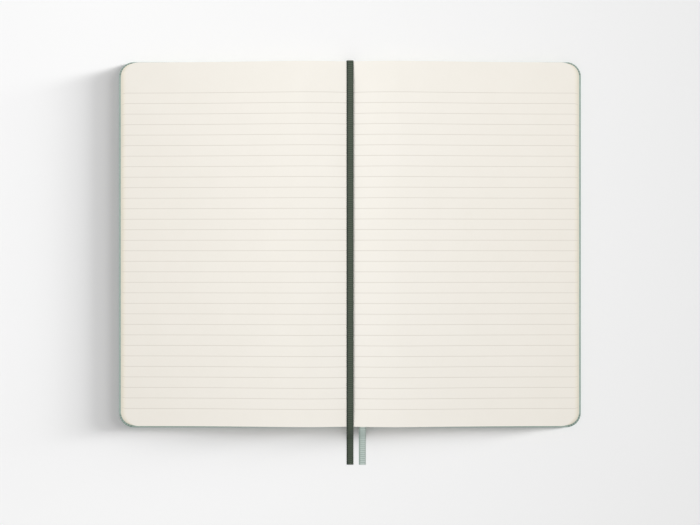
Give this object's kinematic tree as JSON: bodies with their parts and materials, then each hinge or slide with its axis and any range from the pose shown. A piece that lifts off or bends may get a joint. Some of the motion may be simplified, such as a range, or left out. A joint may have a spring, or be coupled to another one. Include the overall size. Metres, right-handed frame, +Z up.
{
  "type": "open notebook",
  "caption": "Case-bound ruled notebook lying open flat at its middle, with arched leaves, a folding case and woven ribbon markers.",
  "frame": {"origin": "centre of the open covers' underside, below the gutter, on the table", "axes": "+X across the spread towards the right-hand page, +Y along the gutter towards the head, +Z up from the table"},
  "size_m": [0.2656, 0.2317, 0.0106],
  "materials": {
    "cover": "sage green grained book cloth over board, matte",
    "leaves": "cream uncoated writing paper, faint grey ruling",
    "endpaper": "cream uncoated paper",
    "lining": "open cotton gauze set in glue",
    "ribbon_dark": "dark green ribbed satin ribbon",
    "ribbon_pale": "pale sage ribbed satin ribbon"
  },
  "bodies": {
    "back": {"back_cover": "cover", "back_endpaper": "endpaper", "right_leaves": "leaves", "cover_spine": "cover", "spine_lining": "lining", "gutter_ribbon": "ribbon_dark", "second_ribbon": "ribbon_pale"},
    "front": {"front_cover": "cover", "front_endpaper": "endpaper", "left_leaves": "leaves"}
  },
  "joints": [
    {"name": "closing", "type": "hinge", "parent": "back", "child": "front", "pos_m": [0, 0, 0.00595], "axis": [0, 1, 0], "range_deg": [0, 180], "deforming": ["left_leaves", "right_leaves"]}
  ]
}
